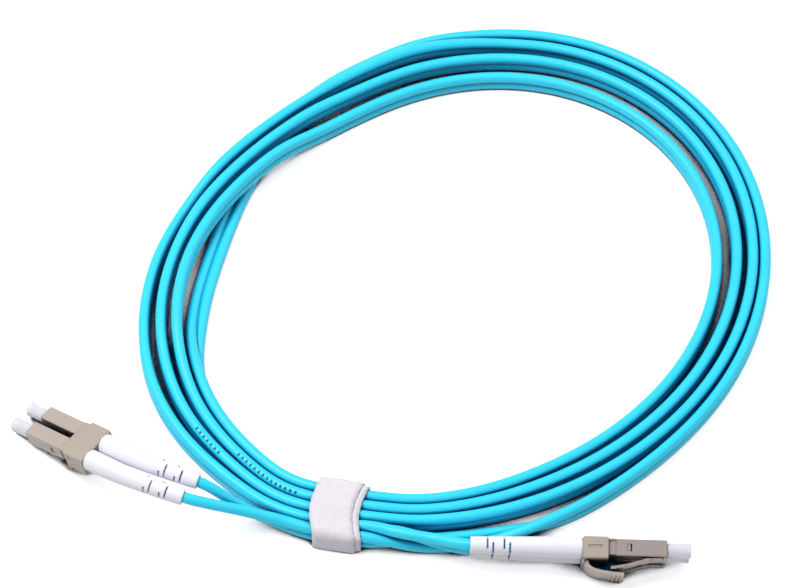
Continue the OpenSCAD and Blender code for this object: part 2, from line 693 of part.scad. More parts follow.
// Curved lever that reaches forward over both latches
lever_curve = [lever_pin, [-20.4, clip_h / 2 + 3.3], [-16.4, clip_h / 2 + 3.3],
    [-11.2, clip_h / 2 + 3.85]];
module trigger_shape() {
    rib_h = 0.3;
    side_view(lever_w) polygon(strip(lever_curve, lever_t, 12));
    translate([lever_pin[0], 0, lever_pin[1]]) rotate([90, 0, 0])
        cylinder(r = lever_pin_r, h = lever_w, center = true);
    for (u = [0.82, 0.89, 0.96])
        translate([bezier(lever_curve, u)[0], 0, bezier(lever_curve, u)[1] + lever_t / 2])
            rotate([90, 0, 0]) cylinder(r = rib_h, h = lever_w, center = true);
}

// -------------------------------------------------------------- dust cap ----
module dust_cap_shape() {
    stem_d = nose_bore_d - 0.2;
    stem_in = 2.6;
    seat = 0.2;
    rim_d = cap_d + 0.2;
    rim_t = 0.7;
    bore = ferrule_d + 0.15;
    difference() {
        rotate([0, 90, 0]) rotate_extrude()
            polygon([[0, -stem_in], [stem_d / 2, -stem_in], [stem_d / 2, seat],
                [cap_d / 2 - 0.25, seat], [cap_d / 2, seat + 0.4],
                [cap_d / 2, cap_len - rim_t - 0.3], [rim_d / 2, cap_len - rim_t],
                [rim_d / 2, cap_len - 0.15], [rim_d / 2 - 0.15, cap_len], [0, cap_len]]);
        rod_x(-stem_in - 1, ferrule_out + 1.2, bore);
        // Dished end
        rod_x(cap_len - 1.2, cap_len + 1, cap_d - 1.4);
    }
}

// ------------------------------------------------- coloured and in place ----
module duplex_clip(end) {
    color(clip_grey) place_pair(end) duplex_clip_shape();
}
module trigger(end) {
    color(clip_grey) place_pair(end) trigger_shape();
}
module housing(end, n) {
    color(beige) place_plug(end, n) housing_shape();
}
module latch(end, n) {
    color(beige) place_plug(end, n) latch_shape();
}
module ferrule(end, n) {
    color(ceramic) place_plug(end, n) ferrule_shape();
}
module ferrule_holder(end, n) {
    color(metal) place_plug(end, n) ferrule_holder_shape();
}
module ferrule_spring(end, n) {
    color(metal) place_plug(end, n) ferrule_spring_shape();
}
module backbone(end, n) {
    color(brass) place_plug(end, n) backbone_shape();
}
module crimp_sleeve(end, n) {
    color(metal) place_plug(end, n) crimp_sleeve_shape();
}
module fiber_buffer(end, n) {
    color(ivory) place_plug(end, n) fiber_buffer_shape();
}
module dust_cap(end, n) {
    color(frosted) place_plug(end, n) dust_cap_shape();
}
module boot(end, n) {
    color(white) place_plug(end, n) boot_shape(end == "a");
}

// ----------------------------------------------------------------- parts ----
cord_coil();
cord_lead("a");  // cord_lead_a
cord_lead("b");  // cord_lead_b
leg("a", 1);  // leg_a1
leg("a", 2);  // leg_a2
leg("b", 1);  // leg_b1
leg("b", 2);  // leg_b2
cable_tie();
duplex_clip("a");  // duplex_clip_a
duplex_clip("b");  // duplex_clip_b
trigger("a");  // trigger_a
trigger("b");  // trigger_b
housing("a", 1);  // housing_a1
housing("a", 2);  // housing_a2
housing("b", 1);  // housing_b1
housing("b", 2);  // housing_b2
latch("a", 1);  // latch_a1
latch("a", 2);  // latch_a2
latch("b", 1);  // latch_b1
latch("b", 2);  // latch_b2
ferrule("a", 1);  // ferrule_a1
ferrule("a", 2);  // ferrule_a2
ferrule("b", 1);  // ferrule_b1
ferrule("b", 2);  // ferrule_b2
ferrule_holder("a", 1);  // ferrule_holder_a1
ferrule_holder("a", 2);  // ferrule_holder_a2
ferrule_holder("b", 1);  // ferrule_holder_b1
ferrule_holder("b", 2);  // ferrule_holder_b2
ferrule_spring("a", 1);  // ferrule_spring_a1
ferrule_spring("a", 2);  // ferrule_spring_a2
ferrule_spring("b", 1);  // ferrule_spring_b1
ferrule_spring("b", 2);  // ferrule_spring_b2
backbone("a", 1);  // backbone_a1
backbone("a", 2);  // backbone_a2
backbone("b", 1);  // backbone_b1
backbone("b", 2);  // backbone_b2
crimp_sleeve("a", 1);  // crimp_sleeve_a1
crimp_sleeve("a", 2);  // crimp_sleeve_a2
crimp_sleeve("b", 1);  // crimp_sleeve_b1
crimp_sleeve("b", 2);  // crimp_sleeve_b2
fiber_buffer("a", 1);  // fiber_buffer_a1
fiber_buffer("a", 2);  // fiber_buffer_a2
fiber_buffer("b", 1);  // fiber_buffer_b1
fiber_buffer("b", 2);  // fiber_buffer_b2
boot("a", 1);  // boot_a1
boot("a", 2);  // boot_a2
boot("b", 1);  // boot_b1
boot("b", 2);  // boot_b2
dust_cap("a", 1);  // dust_cap_a1
dust_cap("a", 2);  // dust_cap_a2
dust_cap("b", 1);  // dust_cap_b1
dust_cap("b", 2);  // dust_cap_b2
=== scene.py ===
"""Looks for the duplex fiber optic patch cord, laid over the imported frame.

Lengths are in millimetres until a point is multiplied by MM, and angles are in degrees.
"""
import json
import math

import bmesh
import bpy
from mathutils import Matrix, Vector, noise


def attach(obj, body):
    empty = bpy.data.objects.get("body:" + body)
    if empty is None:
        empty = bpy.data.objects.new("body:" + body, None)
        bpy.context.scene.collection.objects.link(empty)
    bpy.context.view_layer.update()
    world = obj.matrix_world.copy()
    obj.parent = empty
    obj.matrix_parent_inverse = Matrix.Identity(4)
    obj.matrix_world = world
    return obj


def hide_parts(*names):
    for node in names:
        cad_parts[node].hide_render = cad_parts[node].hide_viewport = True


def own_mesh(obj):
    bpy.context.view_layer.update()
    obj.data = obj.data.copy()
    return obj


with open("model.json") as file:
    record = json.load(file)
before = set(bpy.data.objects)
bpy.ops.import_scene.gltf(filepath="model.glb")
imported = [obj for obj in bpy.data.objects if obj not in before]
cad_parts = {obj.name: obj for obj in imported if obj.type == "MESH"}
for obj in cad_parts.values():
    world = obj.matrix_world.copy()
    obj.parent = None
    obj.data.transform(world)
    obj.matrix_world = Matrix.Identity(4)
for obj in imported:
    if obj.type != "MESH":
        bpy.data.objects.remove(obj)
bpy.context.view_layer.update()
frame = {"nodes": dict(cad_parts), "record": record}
nodes = frame["nodes"]
ENDS = [("a", 1), ("a", 2), ("b", 1), ("b", 2)]
MM = 0.001

# ---------------------------------------------------------------- route ----
# The cord's route, with the values of part.scad.
# R is a strand's radius. A place on the winding is its angle t past the tie.
R, TURNS = 1.5, 4
# Outline of the coil: size and direction of its shift, oval and lobes
COIL_MID = Vector((16.3, 2.7))
COIL_R = 77.3
COIL_SHIFT, COIL_SHIFT_AT = 3.2, 70
COIL_OVAL, COIL_OVAL_AT = 6.9, 41
COIL_LOBES, COIL_LOBES_AT = 0.9, -44
# The tie, and how the cord straightens, closes up and lifts there
TIE_AT, TIE_HALF = 246.5, 5.1
TIE_T, TIE_PITCH, TIE_GAP = 0.8, 3.2, 0.1
STRAIGHTEN, STRAIGHTEN_BEFORE, STRAIGHTEN_WIDTH = 1.6, 10, 10
NEAR_FROM, NEAR_FADE = 10, 40
LIFT_FROM, LIFT_FADE = 5.5, 10
# Lanes side by side: their pitch, where it widens, and their sideways skew
LANE_PITCH, LANE_SPREAD, LANE_SPREAD_AT, LANE_SPREAD_WIDTH = 4.35, 1.0, 65, 40
SKEW, SKEW_SWING, SKEW_AT = 0.2, 0.7, 62
# The first turn leaves its lane, and every turn crosses to the next one
START_FROM, START_LENGTH, START_TUCK = 2, 75, 1.0
CROSS_FROM, CROSS_TO, CROSS_LIFT = 222, 291, 3.5
CLIMB_APART, CLIMB_FADE, CLIMB_OUTER, CLIMB_INNER = 5.6, 6.5, 32, 8
# Where the first turn's twin jacket stands on edge, as rise and fall
ON_EDGE_START = (4, 20, 24, 46)
ON_EDGE_CROSS = (196, 222, 294, 319)
EDGE_GAP, EDGE_SHIFT, EDGE_SWING = 0.15, 0.2, 1.2
# Plug pairs: place from the tie, height and turn, then the boots' bend
PLUG_PITCH, CLIP_END, BOOT_LEN, BOOT_STRAIGHT = 6.25, 22.2, 29.4, 2.8
BEND, ROLL = 31.0, 41.5
BEND_START = CLIP_END + BOOT_STRAIGHT
BEND_LEN = BOOT_LEN - BOOT_STRAIGHT
BEND_R = BEND_LEN / math.radians(BEND)
FROM_TIE = {
    "a": ((-80.64, 28.48), 3.8, (180, 17.8, 141.9)),
    "b": ((86.21, -13.16), 6.42, (109, 1.5, -1)),
}
# Points of the leads from the tie to the splits: place from the tie, and twist
LEAD = {
    "a": [(-14.5, -2.6, 4.3, 8), (-18, -1.8, 5, 18), (-21, -1.2, 5.8, 28)],
    "b": [(10.2, -4.9, 5.4, 15), (14, -6.5, 6.8, 40), (18.2, -7.9, 7.3, 36), (24.2, -9.3, 6.9, 18)],
}
LEG_SPREAD, LEG_REACH, LEG_POINTS = 3, 0.7, 24
# The strands run on inside the boots in this many steps, each this part of the bend
INSIDE_POINTS, INSIDE_STEP = 13, 0.035
# A line's fourth number is its twist over this, so it hardly counts as length
TWIST_SCALE = 10
ROUTE_STEP, STRAND_STEP = 1.0, 1.2
ROUTE_PASSES, STRAND_PASSES = 8, 5


def cos(a):
    return math.cos(math.radians(a))


def sin(a):
    return math.sin(math.radians(a))


def wrap(a):
    """The same angle from -180 up to 180."""
    return a - 360 * math.floor((a + 180) / 360)


def smooth(u):
    """A soft step from 0 to 1."""
    v = min(1.0, max(0.0, u))
    return v * v * (3 - 2 * v)


def bump(a, at, width):
    return math.exp(-((wrap(a - at) / width) ** 2))


def hill(t, a, b, c, d):
    """Rises from a to b and falls from c to d."""
    return smooth((t - a) / (b - a)) * (1 - smooth((t - c) / (d - c)))


def base_r(a):
    return (COIL_R + COIL_SHIFT * cos(a - COIL_SHIFT_AT) + COIL_OVAL * cos(2 * (a - COIL_OVAL_AT))
            + COIL_LOBES * cos(3 * (a - COIL_LOBES_AT))
            + STRAIGHTEN * bump(a, TIE_AT - STRAIGHTEN_BEFORE, STRAIGHTEN_WIDTH))


def base_point(a):
    return Vector((cos(a), sin(a))) * base_r(a)


def base_normal(a):
    d = (base_point(a + 0.5) - base_point(a - 0.5)).normalized()
    return Vector((d[1], -d[0]))


def near_tie(t):
    return 1 - smooth((abs(wrap(t)) - NEAR_FROM) / NEAR_FADE)


def pitch_at(t):
    free = LANE_PITCH + LANE_SPREAD * bump(TIE_AT + t, LANE_SPREAD_AT, LANE_SPREAD_WIDTH)
    return free + (TIE_PITCH - free) * near_tie(t)


def skew_at(t):
    return (SKEW + SKEW_SWING * cos(TIE_AT + t - SKEW_AT)) * (1 - near_tie(t))


def skew_of(lane):
    return max(-1, 1 - 2 * ((2 * lane - (TURNS - 1)) / (TURNS - 1)) ** 2)


def crossing(t):
    return smooth((t - CROSS_FROM) / (CROSS_TO - CROSS_FROM))


def lane_at(t):
    n = math.floor(t / 360)
    c = crossing(t - 360 * n)
    if n < 0:
        return TURNS
    if n == 0:
        return TURNS - smooth((t - START_FROM) / START_LENGTH) - (TURNS - 1) * c
    return n - 1 + c


def flat_start(t):
    return hill(t, *ON_EDGE_START) if t < 360 else 0


def flat_cross(t):
    return hill(t, *ON_EDGE_CROSS) if t < 360 else 0


def twist_at(t):
    return 90 * (flat_start(t) + flat_cross(t))


def offset_at(t):
    edge = ((R + EDGE_GAP) * flat_cross(t) * (EDGE_SHIFT - EDGE_SWING * crossing(t))
            - START_TUCK * flat_start(t))
    return (lane_at(t) - (TURNS - 1) / 2) * pitch_at(t) + skew_at(t) * skew_of(lane_at(t)) + edge


def climb_at(t):
    """How far a turn rises where it goes over the first one."""
    n = math.floor(t / 360)
    if n < 1 or n >= TURNS:
        return 0
    local = t - 360 * n
    c = crossing(local)
    apart = abs(pitch_at(t) * (n - 1 + c - (TURNS - 1) * (1 - c)))
    return (CROSS_LIFT * (1 - smooth((apart - CLIMB_APART) / CLIMB_FADE))
            * hill(local, CROSS_FROM - CLIMB_OUTER, CROSS_FROM - CLIMB_INNER,
                   CROSS_TO + CLIMB_INNER, CROSS_TO + CLIMB_OUTER))


def coil_point(t):
    a = TIE_AT + t
    p = COIL_MID + base_point(a) + base_normal(a) * offset_at(t)
    over_tie = 1 - smooth((abs(wrap(t)) - LIFT_FROM) / LIFT_FADE)
    lift = (TIE_T + TIE_GAP) * over_tie + climb_at(t)
    return Vector((p[0], p[1], R * (1 + cos(twist_at(t))) + lift))


def through_tie(t):
    """A point of the wound cord; inside the tie it runs straight."""
    off = wrap(t)
    if abs(off) >= TIE_HALF:
        return coil_point(t)
    n = t - off
    u = (off + TIE_HALF) / (2 * TIE_HALF)
    return coil_point(n - TIE_HALF).lerp(coil_point(n + TIE_HALF), u)


def mean(*v):
    return sum(v, Vector((0, 0, 0))) / len(v)


TIE_MID = mean(coil_point(-TIE_HALF), coil_point(TIE_HALF),
               coil_point(360 - TIE_HALF), coil_point(360 + TIE_HALF))
tie_run = coil_point(720 + TIE_HALF) - coil_point(720 - TIE_HALF)
TIE_HEADING = math.degrees(math.atan2(tie_run[1], tie_run[0]))


def pair_matrix(end):
    """Frame of a plug pair, with +X out of the plugs' noses."""
    (x, y), z, (turn_x, turn_y, turn_z) = FROM_TIE[end]
    rot = (Matrix.Rotation(math.radians(turn_z), 4, "Z")
           @ Matrix.Rotation(math.radians(turn_y), 4, "Y")
           @ Matrix.Rotation(math.radians(turn_x), 4, "X"))
    return Matrix.Translation((TIE_MID[0] + x, TIE_MID[1] + y, z)) @ rot


def plug_y(end, n):
    return (2 * n - 3 if end == "a" else 3 - 2 * n) * PLUG_PITCH / 2


def placed(end, v):
    return pair_matrix(end) @ Vector(v)


def boot_point(end, n, u):
    """Middle of the boot at the part u of its flexible length."""
    y = plug_y(end, n)
    if end == "b":
        return placed(end, (-BEND_START - u * BEND_LEN, y, 0))
    back, rise = BEND_R * sin(u * BEND), BEND_R * (1 - cos(u * BEND))
    return placed(end, (-BEND_START - back, y + rise * sin(ROLL), rise * cos(ROLL)))


def catmull(points, step):
    """Dense points through sparse ones, each a tuple whose first three are a place."""
    out = []
    p = [points[0]] + list(points) + [points[-1]]
    for i in range(1, len(p) - 2):
        a, b, c, d = (Vector(q) for q in p[i - 1:i + 3])
        count = max(1, round((c - b).length / step))
        for k in range(count):
            u = k / count
            out.append(0.5 * (2 * b + (c - a) * u + (2 * a - 5 * b + 4 * c - d) * u ** 2
                              + (3 * b - a - 3 * c + d) * u ** 3))
    out.append(Vector(p[-2]))
    return out


def hermite(p, from_p, q, to_q, v):
    """A curve from p to q that leaves along from_p and arrives against to_q."""
    return (p * (2 * v ** 3 - 3 * v ** 2 + 1) + from_p * (v ** 3 - 2 * v ** 2 + v)
            + q * (3 * v ** 2 - 2 * v ** 3) + to_q * (v ** 3 - v ** 2))


def lay_evenly(points, step):
    """The same line with points an even step apart. They may carry more than three numbers."""
    run = [0.0]
    for a, b in zip(points, points[1:]):
        run.append(run[-1] + (b - a).length)
    count = max(2, round(run[-1] / step))
    out, k = [], 0
    for i in range(count + 1):
        s = run[-1] * i / count
        while k < len(run) - 2 and run[k + 1] < s:
            k += 1
        u = (s - run[k]) / max(1e-9, run[k + 1] - run[k])
        out.append(points[k].lerp(points[k + 1], u))
    return out


def soften(points, passes, held=2):
    """Rounds kinks off; the first and last few points stay."""
    for _ in range(passes):
        new = list(points)
        for i in range(held, len(points) - held):
            new[i] = points[i] * 0.5 + (points[i - 1] + points[i + 1]) * 0.25
        points = new
    return points


def heading(points, i):
    a, b = points[max(0, i - 1)], points[min(len(points) - 1, i + 1)]
    return Vector((b[0] - a[0], b[1] - a[1], b[2] - a[2])).normalized()


def twin_axes(d, twist):
    """Across a heading: the way from the jacket's middle to strand 1, and the way square to it."""
    s = Vector((d[1], -d[0], 0)).normalized()
    u = s.cross(d)
    return s * sin(twist) + u * cos(twist), s * cos(twist) - u * sin(twist)


def lead_points(end):
    return [(TIE_MID[0] + x, TIE_MID[1] + y, z, w / TWIST_SCALE) for x, y, z, w in LEAD[end]]


def twin_middle():
    """Middle line of the twin jacket from one split to the other, with its twist."""
    wound = []
    t = -TIE_HALF
    while t < 360 * TURNS + TIE_HALF:
        p = through_tie(t)
        wound.append((p[0], p[1], p[2], twist_at(t) / TWIST_SCALE))
        t += 1.0
    line = catmull(lead_points("a")[::-1] + wound[:1], ROUTE_STEP)[:-1]
    line += [Vector(w) for w in wound]
    line += catmull(wound[-1:] + lead_points("b"), ROUTE_STEP)[1:]
    return soften(lay_evenly(line, ROUTE_STEP), ROUTE_PASSES, 1)


def strand_lines():
    """The two strands from boot to boot, and the middle line between the splits."""
    mid = twin_middle()
    lines = {}
    for n, side in ((1, 1), (2, -1)):
        line = []
        for i, p in enumerate(mid):
            across, _ = twin_axes(heading(mid, i), p[3] * TWIST_SCALE)
            line.append(Vector(p[:3]) + side * R * across)
        for end in ("a", "b"):
            i = 0 if end == "a" else len(mid) - 1
            away = -heading(mid, i) if end == "a" else heading(mid, i)
            p, q = line[0 if end == "a" else -1], boot_point(end, n, 1)
            tail = (boot_point(end, n, 0.97) - q).normalized()
            reach = (q - p).length
            leave = (LEG_REACH * away * reach
                     + LEG_SPREAD * (p - Vector(mid[i][:3])).normalized())
            arrive = LEG_REACH * tail * reach
            leg = [hermite(p, leave, q, arrive, k / LEG_POINTS) for k in range(1, LEG_POINTS + 1)]
            leg += [boot_point(end, n, 1 - k * INSIDE_STEP) for k in range(1, INSIDE_POINTS + 1)]
            line = leg[::-1] + line if end == "a" else line + leg
        lines[n] = soften(lay_evenly(line, STRAND_STEP), STRAND_PASSES)
    return lines, mid


# ------------------------------------------------------------- materials ----
ROUGH_VARY = 0.05


def add_node(nt, kind, **sockets):
    """A shader node with some input sockets set; an underscore stands for a space."""
    node = nt.nodes.new("ShaderNode" + kind)
    for key, value in sockets.items():
        node.inputs[key.replace("_", " ")].default_value = value
    return node


def mix_colours(nt, factor, a, b=None):
    """A mix of two colours by an output socket; b is left for a link where it isn't given."""
    mix = nt.nodes.new("ShaderNodeMix")
    mix.data_type = "RGBA"
    mix.inputs["A"].default_value = a
    if b is not None:
        mix.inputs["B"].default_value = b
    nt.links.new(factor, mix.inputs["Factor"])
    return mix


def node_material(name, colour, rough, specular=0.5, **more):
    """A Principled material: noise varies colour and roughness a little, and gives a fine bump;
    with crease it also paints shade into the colour where surfaces lie close.
    """
    m = bpy.data.materials.new(name)
    m.use_nodes = True
    nt = m.node_tree
    bsdf = nt.nodes["Principled BSDF"]
    bsdf.inputs["Roughness"].default_value = rough
    bsdf.inputs["Specular IOR Level"].default_value = specular
    for key, value in more.get("sockets", {}).items():
        bsdf.inputs[key].default_value = value
    coord = nt.nodes.new("ShaderNodeTexCoord")
    big = add_node(nt, "TexNoise", Scale=more["patch"], Detail=4)
    nt.links.new(coord.outputs["Object"], big.inputs["Vector"])
    low, high = 1 - more["vary"], 1 + more["vary"]
    tinted = mix_colours(nt, big.outputs["Fac"], [*(c * low for c in colour), 1],
                         [*(min(1, c * high) for c in colour), 1]).outputs["Result"]
    if "crease" in more:
        # Painted shade: a deeper, darker colour where the surface lies close to another, from
        # ambient occlusion
        near = add_node(nt, "AmbientOcclusion", Distance=more.get("crease_reach", 0.005))
        much = add_node(nt, "MapRange", From_Min=0.1, From_Max=more.get("crease_from", 0.75))
        nt.links.new(near.outputs["AO"], much.inputs["Value"])
        shaded = mix_colours(nt, much.outputs["Result"], (*more["crease"], 1))
        nt.links.new(tinted, shaded.inputs["B"])
        tinted = shaded.outputs["Result"]
    nt.links.new(tinted, bsdf.inputs["Base Color"])
    fine = add_node(nt, "TexNoise", Scale=more["grain"], Detail=3)
    nt.links.new(coord.outputs["Object"], fine.inputs["Vector"])
    ramp = add_node(nt, "MapRange", To_Min=max(0, rough - ROUGH_VARY),
                    To_Max=min(1, rough + ROUGH_VARY))
    nt.links.new(fine.outputs["Fac"], ramp.inputs["Value"])
    nt.links.new(ramp.outputs["Result"], bsdf.inputs["Roughness"])
    grit = add_node(nt, "Bump", Strength=more.get("bump", 0.15),
                    Distance=more.get("depth", 0.00003))
    nt.links.new(fine.outputs["Fac"], grit.inputs["Height"])
    nt.links.new(grit.outputs["Normal"], bsdf.inputs["Normal"])
    return m


# Moulded pieces get painted shade, a dark brown, where their surfaces lie close to each other
MOULDED = {"patch": 150, "grain": 3000, "bump": 0.2,
           "crease": (0.02, 0.012, 0.011), "crease_reach": 0.008, "crease_from": 0.8}
# The jacket gets painted shade, a deep blue, in the crevices between strands and turns
JACKET = node_material("jacket_aqua", (0.03, 0.72, 0.98), 0.42, 0.4, patch=30, vary=0.03,
                       grain=900, bump=0.08, crease=(0.0, 0.12, 0.36))
PLUG = node_material("plug_beige", (0.47, 0.40, 0.355), 0.42, 0.4, vary=0.05, **MOULDED)
# Painted shade: a darker copy of the plug beige, used for pair B's housings, latches and backbones
PLUG_SHADED = node_material("plug_beige_shaded", (0.37, 0.31, 0.29), 0.42, 0.4, vary=0.05, **MOULDED)
CLIP = node_material("clip_beige", (0.45, 0.385, 0.335), 0.45, 0.4, vary=0.06, **MOULDED)
BOOT = node_material("boot_white", (0.88, 0.87, 0.95), 0.5, 0.35, patch=120, vary=0.02, grain=2500)
CAP = node_material("cap_frosted", (0.92, 0.91, 0.99), 0.3, 0.5, patch=120, vary=0.02,
                    grain=2000, bump=0.1, sockets={"Transmission Weight": 0.3, "IOR": 1.3})
METAL = node_material("satin_metal", (0.55, 0.55, 0.57), 0.3, 0.5, patch=200, vary=0.05,
                      grain=4000, sockets={"Metallic": 1.0})
CERAMIC = node_material("zirconia", (0.85, 0.83, 0.78), 0.12, 0.6, patch=200, vary=0.01,
                        grain=4000, bump=0.02)
BUFFER = node_material("buffer_ivory", (0.80, 0.76, 0.66), 0.45, 0.4, patch=200, vary=0.02,
                       grain=3000)
FELT = node_material("tie_felt", (0.78, 0.74, 0.80), 0.95, 0.1, patch=900, vary=0.09, grain=1500,
                     bump=0.9, depth=0.00025,
                     sockets={"Sheen Weight": 0.35, "Sheen Roughness": 0.5})

BY_NODE = {"housing": PLUG, "latch": PLUG, "duplex_clip": CLIP, "trigger": CLIP,
           "ferrule_holder": METAL, "ferrule_spring": METAL, "ferrule": CERAMIC,
           "backbone": PLUG, "crimp_sleeve": METAL, "fiber_buffer": BUFFER,
           "boot": BOOT, "dust_cap": CAP}
# Pieces of pair B that get the painted-shade copy of the plug colour
SHADED_AT_B = ("housing", "latch", "backbone")


def body_of(name):
    bodies = frame["record"]["behaviour"]["bodies"]
    return next(body for body, has in bodies.items() if name in has)


def dress(o, material):
    o.data.materials.clear()
    o.data.materials.append(material)


def finish_of(name):
    """The material of a plug's piece, or None for the cord's own nodes."""
    stem, which = name.rsplit("_", 1)
    return PLUG_SHADED if which[0] == "b" and stem in SHADED_AT_B else BY_NODE.get(stem)


def add_object(name, data):
    o = bpy.data.objects.new(name, data)
    bpy.context.scene.collection.objects.link(o)
    return o


for name, o in nodes.items():
    if finish_of(name):
        dress(o, finish_of(name))

# Radius on the edges of moulded pieces; the rest stay as the CAD has them
ROUNDED = {"housing": 0.14, "latch": 0.09, "duplex_clip": 0.16, "trigger": 0.1}
# An edge sharper than this is rounded, and one sharper than the next shades as an edge
ROUND_ANGLE, SHARP_ANGLE = 32, 50
# Faces flatter than this to each other become one, and points this near (in metres) are joined
FLAT_ANGLE, JOIN_BEFORE, JOIN_AFTER = 0.6, 3e-6, 1e-6


def rounded_copy(name, radius, material):
    """The node's own shape with its sharp edges rounded, standing for it."""
    bm = bmesh.new()
    bm.from_mesh(nodes[name].data)
    bmesh.ops.remove_doubles(bm, verts=bm.verts, dist=JOIN_BEFORE)
    bmesh.ops.dissolve_limit(bm, angle_limit=math.radians(FLAT_ANGLE), verts=bm.verts,
                             edges=bm.edges)
    sharp = [e for e in bm.edges
             if e.is_manifold and e.calc_face_angle(0) > math.radians(ROUND_ANGLE)]
    bmesh.ops.bevel(bm, geom=sharp, offset=radius * MM, segments=2, profile=0.5,
                    affect="EDGES", clamp_overlap=True)
    bmesh.ops.remove_doubles(bm, verts=bm.verts, dist=JOIN_AFTER)
    for f in bm.faces:
        f.smooth = True
    me = bpy.data.meshes.new(name + "_rounded")
    bm.to_mesh(me)
    bm.free()
    me.set_sharp_from_angle(angle=math.radians(SHARP_ANGLE))
    o = add_object(name + "_rounded", me)
    me.materials.append(material)
    even = o.modifiers.new("even_shading", "WEIGHTED_NORMAL")
    even.keep_sharp = True
    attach(o, body_of(name))
    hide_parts(name)


for name in list(nodes):
    stem = name.rsplit("_", 1)[0]
    if stem in ROUNDED:
        rounded_copy(name, ROUNDED[stem], finish_of(name))


def mesh_piece(name, verts, faces, material, body="cord", slot=None, shade=True):
    me = bpy.data.meshes.new(name)
    me.from_pydata([tuple(v) for v in verts], [], faces)
    me.update()
    o = add_object(name, me)
    me.materials.append(material)
    if shade:
        for f in me.polygons:
            f.use_smooth = True
    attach(o, body)
    return o


def sweep(rings):
    """Vertices and faces of a closed skin over rings of equal count."""
    k = len(rings[0])
    verts = [v for r in rings for v in r]
    faces = [(i * k + j, i * k + (j + 1) % k, (i + 1) * k + (j + 1) % k, (i + 1) * k + j)
             for i in range(len(rings) - 1) for j in range(k)]
    faces.append(tuple(range(k))[::-1])
    faces.append(tuple((len(rings) - 1) * k + j for j in range(k)))
    return verts, faces


# ------------------------------------------------------------------ cord ----
STRANDS, MIDDLE = strand_lines()
for n, line in STRANDS.items():
    pts = [p * MM for p in line]
    curve = bpy.data.curves.new(f"jacket_strand_{n}", "CURVE")
    curve.dimensions = "3D"
    curve.bevel_depth = R * MM
    curve.bevel_resolution = 6
    curve.use_fill_caps = True
    spline = curve.splines.new("POLY")
    spline.points.add(len(pts) - 1)
    for sp, p in zip(spline.points, pts):
        sp.co = (*p, 1)
    spline.use_smooth = True
    strand = add_object(f"jacket_strand_{n}", curve)
    curve.materials.append(JACKET)
    length = sum((b - a).length for a, b in zip(pts, pts[1:]))
    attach(strand, "cord")
    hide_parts("cord_coil", "cord_lead_a", "cord_lead_b", f"leg_a{n}", f"leg_b{n}")
    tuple(pts[0])

# Web between the two strands, as half its thickness and half its height
WEB_X, WEB_Y = 0.5, 0.4
rings = []
for i, p in enumerate(MIDDLE):
    across, along = twin_axes(heading(MIDDLE, i), p[3] * TWIST_SCALE)
    c = Vector(p[:3])
    rings.append([(c + along * x + across * y) * MM for x, y in
                  ((WEB_X, WEB_Y), (-WEB_X, WEB_Y), (-WEB_X, -WEB_Y), (WEB_X, -WEB_Y))])
mesh_piece("jacket_web", *sweep(rings), JACKET, slot="cord_jacket")

# Equal plain ticks along strand 1, in two runs of a start on the winding and a count
INK = node_material("tick_ink", (0.0, 0.075, 0.12), 0.5, 0.3, patch=400, vary=0.1, grain=3000,
                    bump=0.02)
TICK_RUNS, TICK_STEP, TICK_LENGTH = ((697, 14), (1047.5, 7)), 1.1, 0.5
TICK_SINK, TICK_RISE = 0.08, 0.02
TICK_ANGLES = range(-16, 17, 8)
TICK_SIDE = Vector((0, -0.5, 0.86))


def tick(t, base):
    """Vertices and faces of one bar that hugs the strand, its vertices counted from base."""
    p, d = through_tie(t), (through_tie(t + 0.5) - through_tie(t - 0.5)).normalized()
    across, _ = twin_axes(d, twist_at(t))
    c = p + R * across
    up = (TICK_SIDE - d * TICK_SIDE.dot(d)).normalized()
    out = up.cross(d)
    verts = [(c + d * along + r * (up * cos(a) + out * sin(a))) * MM
             for along in (-TICK_LENGTH / 2, TICK_LENGTH / 2)
             for r in (R - TICK_SINK, R + TICK_RISE)
             for a in TICK_ANGLES]
    k = len(TICK_ANGLES)
    a0, a1, b0, b1 = base, base + k, base + 2 * k, base + 3 * k
    faces = []
    for i in range(k - 1):
        faces += [(a1 + i, a1 + i + 1, b1 + i + 1, b1 + i),
                  (a0 + i, b0 + i, b0 + i + 1, a0 + i + 1),
                  (a0 + i, a0 + i + 1, a1 + i + 1, a1 + i),
                  (b0 + i, b1 + i, b1 + i + 1, b0 + i + 1)]
    faces += [(a0, a1, b1, b0), (a0 + k - 1, b0 + k - 1, b1 + k - 1, a1 + k - 1)]
    return verts, faces


verts, faces = [], []
for start, count in TICK_RUNS:
    for i in range(count):
        more_verts, more_faces = tick(start + TICK_STEP * i, len(verts))
        verts += more_verts
        faces += more_faces
mesh_piece("jacket_ticks", verts, faces, INK, slot="cord_jacket", shade=False)

# ----------------------------------------------------------------- boots ----
BOOT_HEAD_R, BOOT_TAIL_R, BOOT_BORE_R = 2.9, 2.2, 1.65
SOCKET_R, SOCKET_DEPTH = 2.5, 1.7
BOOT_SIDES = 72
# Rounded ends, as a distance in from the end and how much smaller the radius is there
TAIL_ROUND = ((0, 0.26), (0.05, 0.14), (0.14, 0.05), (0.3, 0))
HEAD_ROUND = ((0.1, 0.03), (0.02, 0.14), (0, 0.3))
# Rings between them: near the tail, near the head, and at even steps between
TAIL_RINGS, HEAD_RINGS = (0.8, 2.0, 3.2), (0.9, 0.3)
RINGS_FROM, RINGS_SHORT_OF = 12.0, 1.5
# Flexing slots: distance from the tail and way of lean, then their turn and lean at each end
SLOTS = ((4.5, 1), (6.0, -1), (8.9, 1), (10.4, -1))
SLOT_W, SLOT_HALF = 0.5, 53
SLOT_TURN = {"a": (-33, 30), "b": (-75, -30)}
BOOT_SHARP_ANGLE = 55
TURN_X = Matrix.Rotation(math.radians(-ROLL), 4, "X")


